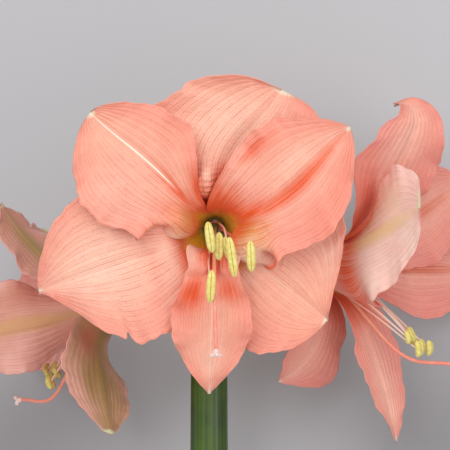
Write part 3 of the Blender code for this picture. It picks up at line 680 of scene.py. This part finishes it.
# The front bloom
# It is wide open and nearly flat, and shows its throat. Its outer petals are broad and lie behind the inner
# ones, and the lowest inner petal juts forward and then folds down. A petal's two sides, anticlockwise and
# clockwise of its midrib, are each a half-width, the share of its length where it is widest, and how keenly
# it narrows to the tip and to the foot. One side stands for both where they are alike.
FLAT = ((0, 12), (0.2, 15), (0.46, 82), (0.62, 90), (1, 96))
FLAT_BEHIND = ((0, 14), (0.17, 20), (0.40, 84), (0.62, 90), (1, 94))
# Each petal's pale patches are partly its own paler tone and partly painted light: they lift places that lie
# in shade deep in the bloom, and the one on the top petal's knee is a painted highlight.
FRONT_PETALS = (
    dict(name="top", at=64.6, sweep=16, length=0.1065, bend=FLAT_BEHIND,
         ccw=(0.057, 0.62, 0.33, 2.2), cw=(0.042, 0.62, 0.30, 2.2),
         bulges=((0.41, 0.08, 0.0105, 0.0085, 0.017),),
         flush=((0.05, 0.38, 0.12, 0.11, 1.0), (0.46, 0.40, 0.12, 0.12, 1.0)),
         pale=((0.25, 0.46, 0.08, 0.05, 0.6), (0.25, 0.70, 0.8, 0.26, 0.65))),
    dict(name="lower_left", at=198.6, length=0.127, bend=FLAT_BEHIND,
         ccw=(0.049, 0.56, 1.3, 2.2), cw=(0.046, 0.66, 0.7, 2.2), lobes=((1, 0.66, 0.010, -0.006),),
         pale=((-0.1, 0.68, 0.7, 0.25, 0.62), (0, 0.36, 1.0, 0.10, 0.6),
                (0.1, 0.24, 0.6, 0.07, 0.4)), olive=((0.2, 0.23, 0.5, 0.04, 0.2),)),
    dict(name="lower_right", at=-38.2, length=0.0975, bend=FLAT_BEHIND,
         ccw=(0.056, 0.62, 1.2, 2.2), cw=(0.044, 0.68, 0.5, 2.2),
         pale=((0.3, 0.55, 0.5, 0.2, 0.15), (0.7, 0.7, 0.3, 0.2, 0.5), (0, 0.43, 0.8, 0.08, 0.6)),
         olive=((0.05, 0.36, 0.4, 0.06, 0.6),)),
    dict(name="upper_left", at=135.5, sweep=-6, length=0.126, bend=FLAT, pale_rib=0.95,
         ccw=(0.0465, 0.62, 0.6, 3.0), cw=(0.0325, 0.66, 0.55, 8.0), lobes=((1, 0.30, 0.085, 0.032),),
         folded=(((1,), 0.17, 0.42, 0.07, ((0.08, 0.26, 50), (0.26, 0.74, -225), (0.82, 1.0, 40))),),
         flush=((-0.03, 0.43, 0.12, 0.14, 1.0), (-0.85, 0.37, 0.3, 0.11, 1.0), (0.35, 0.38, 0.15, 0.10, 0.4)),
         pale=((0.68, 0.29, 0.25, 0.09, 0.9), (0.6, 0.62, 0.4, 0.2, 0.3)),
         olive=((0.3, 0.32, 0.22, 0.06, 0.4),)),
    dict(name="upper_right", at=38.5, sweep=-11, length=0.125, bend=FLAT, pale_rib=0.05,
         ccw=(0.0415, 0.58, 0.85, 1.7), cw=(0.036, 0.64, 0.75, 2.4), lobes=((-1, 0.30, 0.085, 0.036),),
         folded=(((-1,), 0.18, 0.41, 0.07, ((0.14, 0.32, 50), (0.32, 0.78, -225), (0.84, 1.0, 40))),),
         flush=((-0.04, 0.58, 0.11, 0.36, 1.0), (0.02, 0.36, 0.16, 0.12, 1.0),
                (0.8, 0.55, 0.08, 0.10, 0.8), (-0.7, 0.75, 0.3, 0.2, 0.15)),
         pale=((-0.7, 0.31, 0.25, 0.09, 0.9), (0.3, 0.72, 0.2, 0.2, 0.3), (0.75, 0.40, 0.35, 0.12, 0.4)),
         olive=((-0.4, 0.35, 0.25, 0.07, 0.4),)),
    dict(name="bottom", at=268, length=0.121, ccw=(0.0245, 0.62, 0.95, 4.0),
         bend=((0, 12), (0.2, 20), (0.36, 36), (0.46, 92), (0.7, 100), (1, 96)),
         lobes=((1, 0.31, 0.06, 0.012), (-1, 0.31, 0.06, 0.012)), pale_rib=0.3,
         folded=(((1, -1), 0.20, 0.41, 0.04, ((0.20, 0.32, 82), (0.38, 0.52, -92))),),
         flush=((0, 0.34, 0.25, 0.12, 1.0), (-0.6, 0.48, 0.4, 0.09, 1.0), (0.5, 0.46, 0.4, 0.06, 0.8)),
         pale=((0.9, 0.31, 0.3, 0.1, 0.8), (-0.9, 0.31, 0.3, 0.1, 0.8), (0, 0.85, 0.6, 0.12, 0.4))),
)
front_face = petal_face("front_petal_face", srgb(250, 166, 141), srgb(243, 153, 134), srgb(252, 186, 162),
                        srgb(224, 108, 82), srgb(236, 82, 10), 0.40)
front_back = petal_back("front_petal_back", srgb(244, 176, 156), srgb(238, 160, 146), srgb(206, 120, 100),
                        srgb(178, 176, 100), srgb(220, 110, 60))
add_bloom("front", FRONT_PETALS, (front_face, front_back))


# The right bloom
# It faces out to the right and is seen from the side: two petals from behind, the rest into the throat.
RIGHT_PETALS = (
    dict(name="top", at=94, length=0.154, twist=-32, ccw=(0.034, 0.58, 0.95, 4.0),
         cw=(0.031, 0.58, 0.95, 4.0), bend=((0, 14), (0.2, 20), (0.44, 60), (0.78, 66), (0.86, 88), (1, 226)),
         flush=((0, 0.46, 0.7, 0.14, 0.85),), pale=((0.1, 0.75, 0.5, 0.12, 0.3),)),
    dict(name="low_near", at=249, length=0.097, ccw=(0.034, 0.60, 0.7, 2.6), wavy=0.4,
         cw=(0.030, 0.60, 0.7, 2.6), bend=((0, 14), (0.2, 24), (0.42, 74), (1, 142)),
         lobes=((1, 0.80, 0.09, 0.012), (1, 0.60, 0.06, -0.003)), flush=((0.2, 0.30, 0.9, 0.12, 0.7),)),
    dict(name="far", at=2, length=0.132, twist=-20, ccw=(0.033, 0.66, 0.6, 4.0),
         bend=((0, 14), (0.2, 20), (0.44, 56), (1, 64)),
         flush=((0, 0.55, 0.1, 0.35, 0.8),)),
    dict(name="near", at=138, length=0.130, twist=34, ccw=(0.041, 0.46, 0.7, 2.4),
         cw=(0.037, 0.78, 0.5, 3.4), bend=((0, 12), (0.25, 18), (0.5, 34), (0.8, 36), (1, 46)), wavy=0.5,
         lobes=((1, 0.36, 0.09, 0.017),), flush=((0, 0.39, 1.4, 0.09, 1.0),),
         pale=((-0.45, 0.75, 0.35, 0.10, 0.8),), olive=((-0.6, 0.52, 0.4, 0.10, 0.6),)),
    dict(name="bottom", at=280, length=0.138, ccw=(0.030, 0.60, 0.8, 3.4), wavy=0.4,
         cw=(0.020, 0.60, 0.9, 4.0), bend=((0, 12), (0.22, 20), (0.46, 66), (1, 74)),
         pale=((0, 0.8, 0.8, 0.2, 0.25),)),
    dict(name="far_high", at=38, length=0.130, twist=-20, ccw=(0.033, 0.66, 0.6, 4.0),
         bend=((0, 12), (0.22, 18), (0.46, 60), (1, 70)),
         flush=((0, 0.55, 0.1, 0.35, 0.8),)),
)
side_face = petal_face("side_petal_face", srgb(244, 158, 140), srgb(238, 148, 136), srgb(250, 186, 166),
                       srgb(216, 110, 92), srgb(226, 84, 26), 0.44)
side_back = petal_back("side_petal_back", srgb(242, 178, 164), srgb(236, 160, 152), srgb(204, 122, 108),
                       srgb(188, 178, 104), srgb(200, 96, 56))
# The two near petals' backs are a paler, brighter copy of the side back: painted light, set against the shade
# that the front bloom throws on them.
lit_near_back = petal_back("lit_near_petal_back", srgb(255, 212, 198), srgb(252, 198, 186), srgb(224, 142, 122),
                       srgb(240, 196, 138), srgb(240, 86, 24), 0.20)
add_bloom("right", RIGHT_PETALS, (side_face, side_back),
          {"near": (side_face, lit_near_back), "low_near": (side_face, lit_near_back)})


# The left bloom
# It faces out to the left and a little down and away, so it shows mostly the backs of its petals.
LEFT_PETALS = (
    dict(name="top", at=75, length=0.108, ccw=(0.033, 0.64, 0.7, 4.0),
         bend=((0, 14), (0.2, 20), (0.44, 58), (0.8, 66), (1, 80))),
    dict(name="keel", at=-57, length=0.101, twist=26, ccw=(0.035, 0.48, 0.75, 1.9), wavy=0.4,
         cw=(0.030, 0.46, 0.75, 1.9), bend=((0, 14), (0.2, 34), (0.40, 94), (1, 99)),
         lobes=((-1, 0.34, 0.12, 0.010),), flush=((0.45, 0.36, 0.35, 0.12, 0.8),),
         olive=((0.3, 0.66, 0.3, 0.2, 0.8),)),
    dict(name="far", at=174, length=0.136, ccw=(0.036, 0.66, 0.6, 4.0),
         cw=(0.034, 0.66, 0.6, 4.0), bend=((0, 14), (0.2, 20), (0.44, 34), (1, 42))),
    dict(name="near", at=3, length=0.122, ccw=(0.030, 0.60, 0.6, 3.0), wavy=0.5,
         bend=((0, 12), (0.25, 18), (0.5, 38), (0.8, 42), (1, 60)),
         flush=((0.6, 0.50, 0.2, 0.22, 0.35),)),
    dict(name="low", at=-120, length=0.106, ccw=(0.024, 0.62, 0.9, 4.0),
         bend=((0, 12), (0.22, 20), (0.46, 76), (1, 88))),
    dict(name="far_high", at=130, length=0.112, ccw=(0.032, 0.66, 0.6, 4.0),
         bend=((0, 12), (0.22, 18), (0.46, 60), (1, 72))),
)
# Its petals' backs are darker, browner copies of the back skin: painted shade, as the bloom faces away from
# the light. The near petal's copy is pinker and the keel's is the darkest.
shaded_back = petal_back("shaded_petal_back", srgb(214, 152, 130), srgb(222, 162, 148), srgb(168, 104, 78),
                         srgb(158, 138, 66), srgb(176, 96, 60), 0.55)
shaded_blush_back = petal_back("shaded_blush_petal_back", srgb(216, 156, 138), srgb(226, 168, 156), srgb(172, 106, 82),
                        srgb(206, 158, 108), srgb(184, 102, 70), 0.28)
shaded_keel_back = petal_back("shaded_keel_petal_back", srgb(182, 140, 104), srgb(222, 162, 150), srgb(132, 90, 56),
                       srgb(138, 114, 44), srgb(184, 88, 40), 0.62)
add_bloom("left", LEFT_PETALS, (side_face, shaded_back),
          {"near": (side_face, shaded_blush_back), "keel": (side_face, shaded_keel_back)})


# The floral tubes
# Under the petals of each bloom is the short green tube that they grow from, close round their feet.
TUBE_FOOT_RADIUS = 0.0068
TUBE_MOUTH_RADIUS = 0.0090
TUBE_HEIGHT = 0.011
TUBE_FLOOR = 0.0015
TUBE_AROUND = 48

tube_profile = ((0.0, 0.0), (TUBE_FOOT_RADIUS - 0.0014, 0.0), (TUBE_FOOT_RADIUS - 0.0004, 0.0006),
                (TUBE_FOOT_RADIUS + 0.0002, 0.002), (TUBE_FOOT_RADIUS + 0.0011, 0.006),
                (TUBE_MOUTH_RADIUS, TUBE_HEIGHT - 0.0003), (TUBE_MOUTH_RADIUS - 0.0004, TUBE_HEIGHT),
                (TUBE_FOOT_RADIUS + 0.0002, 0.006), (TUBE_FOOT_RADIUS - 0.0010, TUBE_FLOOR + 0.0008),
                (TUBE_FOOT_RADIUS - 0.0016, TUBE_FLOOR), (0.0, TUBE_FLOOR))
tube_skin = green_skin("tube_skin", srgb(150, 158, 82), srgb(196, 184, 110), 12.0, 0.4)
for name in BLOOM_PLACES:
    add_piece(f"flower_tube_{name}", turned(tube_profile, TUBE_AROUND), (tube_skin,),
              (f"bloom_{name}",), bloom_matrix(name))


# The stamens
# Six thin filaments rise from a low ring in the tube, lean down and curve up at their ends. Each carries a
# long anther across its tip, dusted with pale yellow pollen, with a slit along each side.
RING_RADIUS = 0.0046
RING_HOLE_RADIUS = 0.0027
RING_HEIGHT = 0.0018
THROAT_HEIGHT = 0.016
FILAMENT_RADIUS = 0.0009
FILAMENT_AROUND = 12
ANTHER_LENGTH = 0.0185
ANTHER_RADIUS = 0.0027
ANTHER_FORWARD = 0.0012
RING_AROUND = 36
ROUTE_STEPS = 10
HALF_WAY = {"front": (0.40, 0.42, 0.62), "right": (0.40, 0.42, 0.62), "left": (0.35, 0.40, 0.70)}
ANTHERS = {
    "front": ((0, (0.0214, -0.0112, 0.062), 1.0, 2), (60, (0.0078, -0.0085, 0.046), 0.8, 14),
              (120, (-0.0026, 0.0005, 0.066), 1.0, 8), (180, (0.0027, -0.0055, 0.060), 0.9, 0),
              (240, (-0.0020, -0.0280, 0.070), 1.05, -3), (300, (0.0103, -0.0112, 0.066), 1.3, 8)),
    "right": ((0, (0.010, -0.0432, 0.0996), 0.55, 10), (60, (0.006, -0.0358, 0.0877), 0.55, 30),
              (120, (-0.004, -0.0370, 0.0939), 0.55, 35), (180, (-0.010, -0.0361, 0.0940), 0.5, 30),
              (240, (-0.006, -0.0430, 0.0996), 0.6, 20), (300, (0.006, -0.0429, 0.0959), 0.6, 15)),
    "left": ((0, (0.008, -0.0283, 0.0676), 0.6, 60), (60, (0.005, -0.0290, 0.0630), 0.55, 40),
             (120, (0.000, -0.0300, 0.0640), 0.55, -10), (180, (-0.004, -0.0310, 0.0660), 0.55, -20),
             (240, (0.000, -0.0360, 0.0690), 0.55, 5), (300, (0.008, -0.0365, 0.0680), 0.55, 5)),
}


def smooth_route(points, steps):
    """A Catmull-Rom curve through the points, with an even number of steps between each pair."""
    p = np.array(points, dtype=float)
    p = np.vstack((2 * p[0] - p[1], p, 2 * p[-1] - p[-2]))
    t = (np.arange(steps) / steps)[:, None]
    route = []
    for a, b, c, d in zip(p, p[1:], p[2:], p[3:]):
        route.append(
            0.5 * (2 * b + (c - a) * t + (2 * a - 5 * b + 4 * c - d) * t**2 + (3 * b - a - 3 * c + d) * t**3)
        )
    return np.vstack(route + [p[-2][None, :]])


def add_anther(bm, target, size, lean):
    """A long two-celled anther across the filament's tip, slit along both sides and bowed a little."""
    made = bmesh.ops.create_uvsphere(bm, u_segments=28, v_segments=20, radius=1.0)["verts"]
    uv = bm.loops.layers.uv.get("pollen") or bm.loops.layers.uv.new("pollen")
    wrap_uv({face for vert in made for face in vert.link_faces}, uv, -1.0, 1.0)
    for vert in made:
        x, y, z = vert.co
        around = math.atan2(y, x)
        full = (1 - min(1, abs(z)) ** 3.2) ** 0.55 / max(1e-6, math.sqrt(max(1e-6, 1 - z * z)))
        pinch = 1 - 0.30 * math.exp(-(((abs(around) - math.pi / 2) / 0.28) ** 2))
        vert.co = (x * full * pinch, y * full * pinch * 0.8 + 0.35 * z * z, z)
    scale = Matrix.Diagonal((ANTHER_RADIUS, ANTHER_RADIUS, 0.5 * ANTHER_LENGTH * size, 1.0))
    place = Matrix.Translation(Vector(target) + Vector((0, 0, ANTHER_FORWARD)))
    place = place @ Matrix.Rotation(math.radians(lean), 4, "Z") @ UPRIGHT @ scale
    bmesh.ops.transform(bm, matrix=place, verts=made)


def pollen_skin():
    """Pale yellow pollen, grainy and dull, thinner and browner along the two slits."""
    shader = Shader("pollen", 0.85)
    turn = shader.split(shader.uv("pollen"))[0]
    slit = shader.math("PINGPONG", shader.plus(turn, 0.25), 0.25)
    grain = shader.spots(2600.0, 2.0)
    clump = shader.spots(500.0, 2.0)
    shader.paint(srgb(238, 226, 140), (shader.ramp(clump, 0.3, 0.7), srgb(222, 202, 98)),
                 (shader.ramp(grain, 0.5, 0.75, 0.0, 0.5), srgb(250, 244, 190)),
                 (shader.ramp(slit, 0.0, 0.035, 0.75, 0.0), srgb(150, 118, 60)))
    shader.bump(shader.plus(grain, clump), 0.0003, 0.8)
    return shader.material


def thread_skin(name, scale, colour, changes, share, blotches):
    """Smooth moist thread with soft blotches. Each change along it is a ramp and a colour."""
    shader = Shader(name, 0.35)
    along = shader.split(shader.uv("skin"))[1]
    blotch = shader.spots(scale)
    coats = [(shader.ramp(along, *ramp), coat) for ramp, coat in changes]
    shader.paint(colour, *coats, (shader.ramp(blotch, 0.4, 0.8, 0.0, share), blotches))
    shader.dress(Subsurface_Weight=0.2, Subsurface_Scale=0.001)
    shader.bump(blotch, 0.0001, 0.5)
    return shader.material


pollen = pollen_skin()
filament_changes = (((0.35, 0.95), srgb(250, 214, 196)), ((0.0, 0.2, 0.8, 0.0), srgb(206, 200, 120)))
filament_face = thread_skin("filament_skin", 300.0, srgb(236, 130, 100), filament_changes, 0.3,
                            srgb(255, 236, 222))
for name, anthers in ANTHERS.items():
    low = TUBE_FLOOR + SEAT_GAP
    high = low + RING_HEIGHT
    ring_profile = ((RING_HOLE_RADIUS, low), (RING_RADIUS, low), (RING_RADIUS, high),
                    (RING_HOLE_RADIUS, high), (RING_HOLE_RADIUS, low))
    filament_bm = turned(ring_profile, RING_AROUND)
    anther_bm = bmesh.new()
    middle = 0.5 * (RING_RADIUS + RING_HOLE_RADIUS)
    for turn, target, size, lean in anthers:
        way = np.array((math.cos(math.radians(turn)), math.sin(math.radians(turn)), 0.0))
        target = np.array(target)
        start = way * middle + np.array((0, 0, low + 0.5 * RING_HEIGHT))
        in_cup = way * (middle + 0.0008) + np.array((0, 0, THROAT_HEIGHT))
        half_way = way * 0.0055 + target * np.array(HALF_WAY[name])
        route = smooth_route((start, in_cup, half_way, target), ROUTE_STEPS)
        radii = np.linspace(FILAMENT_RADIUS * 1.1, FILAMENT_RADIUS * 0.55, len(route))
        rod(filament_bm, route, radii, FILAMENT_AROUND)
        add_anther(anther_bm, target, size, lean)
    place = bloom_matrix(name)
    add_piece(f"filaments_{name}", filament_bm, (filament_face,), (f"stamens_{name}",), place)
    add_piece(f"anthers_{name}", anther_bm, (pollen,), (f"stamens_{name}",), place)


# The styles
# One style rises through the ring, leans down past the anthers and ends in a stigma of three short lobes.
STYLE_RADIUS = 0.0013
STYLE_AROUND = 14
STIGMA_LOBE_LENGTH = 0.0045
STYLES = {
    "front": ((0.0, -0.003, 0.020), (0.0, -0.010, 0.040), (0.0, -0.030, 0.066), (0.001, -0.065, 0.076)),
    "right": ((0.0, -0.004, 0.020), (0.0, -0.012, 0.040), (0.0, -0.048, 0.086), (0.0, -0.050, 0.121)),
    "left": ((0.0, -0.004, 0.020), (0.0, -0.012, 0.040), (0.002, -0.046, 0.070), (0.0, -0.043, 0.094)),
}


def stigma_skin():
    """Whitish pink lobes, velvety with fine hairs."""
    shader = Shader("stigma_skin", 0.7)
    nap = shader.spots(2200.0, 2.0)
    shader.paint(srgb(238, 196, 190), (shader.ramp(nap, 0.35, 0.7), srgb(252, 236, 226)))
    shader.bump(nap, 0.0003, 0.8)
    return shader.material


style_face = thread_skin("style_skin", 260.0, srgb(214, 200, 124), (((0.2, 0.9), srgb(240, 142, 124)),),
                         0.35, srgb(250, 190, 176))
stigma_face = stigma_skin()
for name, points in STYLES.items():
    route = smooth_route(((0.0, 0.0, TUBE_FLOOR + SEAT_GAP), (0.0, -0.0004, 0.008), *points), ROUTE_STEPS)
    style_bm = bmesh.new()
    rod(style_bm, route, np.linspace(STYLE_RADIUS, STYLE_RADIUS * 0.85, len(route)), STYLE_AROUND)
    place = bloom_matrix(name)
    add_piece(f"style_thread_{name}", style_bm, (style_face,), (f"style_{name}",), place)
    tip_way = unit(route[-1] - route[-2])
    across = unit(np.cross(tip_way, (0.0, 0.3, 1.0)))
    stigma_bm = bmesh.new()
    for number in range(3):
        turn = Matrix.Rotation(2 * math.pi * number / 3 + 0.4, 3, Vector(tip_way))
        outward = np.array(turn @ Vector(across))
        middle = route[-1] + STIGMA_LOBE_LENGTH * (0.45 * tip_way + 0.25 * outward)
        end = route[-1] + STIGMA_LOBE_LENGTH * (0.62 * tip_way + 0.78 * outward)
        line = smooth_route((route[-1] - 0.0008 * tip_way, middle, end), 8)
        along = np.linspace(0, 1, len(line))
        radii = rounded(STYLE_RADIUS * (0.85 + 0.1 * np.sin(math.pi * along)), along)
        rod(stigma_bm, line, radii, STYLE_AROUND)
    add_piece(f"stigma_{name}", stigma_bm, (stigma_face,), (f"style_{name}",), place)


# The spathe
# Two papery bracts wrapped the buds. They have dried brown, split and bent back round the top of the stem.
SPATHE_BASE_Y = -0.020
SPATHE_RADIUS = 0.0118
SPATHE_CLAW = 0.0110
SPATHE_THICKNESS = 0.0005
SPATHE_VALVES = {
    "spathe_valve_a": dict(at=125, length=0.062, ccw=(0.015, 0.42, 1.0, 4.0), wavy=0.8,
                           bend=((0, 4), (0.12, 10), (0.5, 96), (1, 140))),
    "spathe_valve_b": dict(at=236, length=0.056, ccw=(0.014, 0.42, 1.0, 4.0), cw=(0.015, 0.42, 1.0, 4.0),
                           wavy=0.8, bend=((0, 4), (0.12, 10), (0.5, 92), (1, 132))),
}


def papery_skin():
    """Dry brown paper with long fibres, greener and softer at its foot."""
    shader = Shader("papery_bract", 0.75)
    place = shader.uv("petal")
    fibre = shader.noise(place, 1.0, 4.0, (60.0, 3.0, 1.0))
    shader.paint(srgb(150, 118, 78), (shader.ramp(fibre, 0.35, 0.65), srgb(206, 180, 134)),
                 (shader.ramp(shader.spots(90.0), 0.5, 0.75, 0.0, 0.5), srgb(182, 128, 104)),
                 (shader.ramp(shader.split(place)[1], 0.02, 0.3, 0.8, 0.0), srgb(134, 146, 80)))
    shader.bump(fibre, 0.0005, 0.8)
    return shader.material


paper = papery_skin()
bract_frame = Matrix.Translation((0, SPATHE_BASE_Y, 0)) @ Matrix(((0, 1, 0), (0, 0, 1), (1, 0, 0))).to_4x4()
for node, valve in SPATHE_VALVES.items():
    add_petal(node.replace("valve", "bract"), valve, (paper, paper), (node,),
              SPATHE_RADIUS, SPATHE_CLAW, bract_frame, SPATHE_THICKNESS)


# The studio
# A pale grey floor under soft lights, painted darker towards the bottom and sides of the view as painted
# shade, and a camera straight above the front bloom's face.
CAMERA_PLACE = (0.0102, 0.051, 1.308)
CAMERA_LENS = 163.27
FLOOR_SIZE = 8.0
KEY_LIGHT = dict(place=(-0.45, 0.75, 1.50), size=1.6, power=17.0)
FILL_LIGHT = dict(place=(1.0, -0.2, 1.3), size=1.6, power=8.0)
LIGHT_TARGET = (0.0, 0.05, 0.05)
WORLD_STRENGTH = 0.57

# The floor's colour is darkened towards the bottom of the view and to both sides, and fades back to plain
# grey away from the flower: painted shade, as on a backdrop lit from above. It is left lighter in the middle,
# where the flower's own shadow falls.
shader = Shader("floor_paint", 0.85)
x, y = shader.split(shader.object_place())
aside = shader.math("ABSOLUTE", shader.plus(x, 0.01))
shade = shader.times(shader.ramp(y, 0.19, 0.07), shader.ramp(y, -0.6, -0.05))
for near, far, first, last in ((0.02, 0.15, 0.0, 0.92), (0.15, 0.7, 1.0, 0.0)):
    shade = shader.times(shade, shader.ramp(aside, near, far, first, last))
shader.paint(srgb(184, 183, 186), (shader.spots(3.0), srgb(189, 188, 191)),
             (shade, srgb(140, 138, 141)))
floor_bm = bmesh.new()
bmesh.ops.create_grid(floor_bm, x_segments=1, y_segments=1, size=0.5 * FLOOR_SIZE)
floor = add_mesh("floor", floor_bm, (shader.material,))


def add_softbox(name, light):
    data = bpy.data.lights.new(name, "AREA")
    data.shape = "DISK"
    data.size = light["size"]
    data.energy = light["power"]
    ob = add_object(name, data)
    ob.location = lying @ Vector(light["place"])
    ob.rotation_euler = (lying @ Vector(LIGHT_TARGET) - ob.location).to_track_quat("-Z", "Y").to_euler()


add_softbox("key_softbox", KEY_LIGHT)
add_softbox("fill_softbox", FILL_LIGHT)

world = bpy.data.worlds.new("studio")
world.use_nodes = True
world.node_tree.nodes["Background"].inputs["Color"].default_value = (1.0, 1.0, 1.0, 1.0)
world.node_tree.nodes["Background"].inputs["Strength"].default_value = WORLD_STRENGTH
bpy.context.scene.world = world
bpy.context.scene.view_settings.view_transform = "Standard"

camera_data = bpy.data.cameras.new("camera")
camera_data.sensor_width = 36.0
camera_data.lens = CAMERA_LENS
camera = add_object("camera", camera_data)
camera.matrix_world = lying @ Matrix.Translation(CAMERA_PLACE)
bpy.context.scene.camera = camera
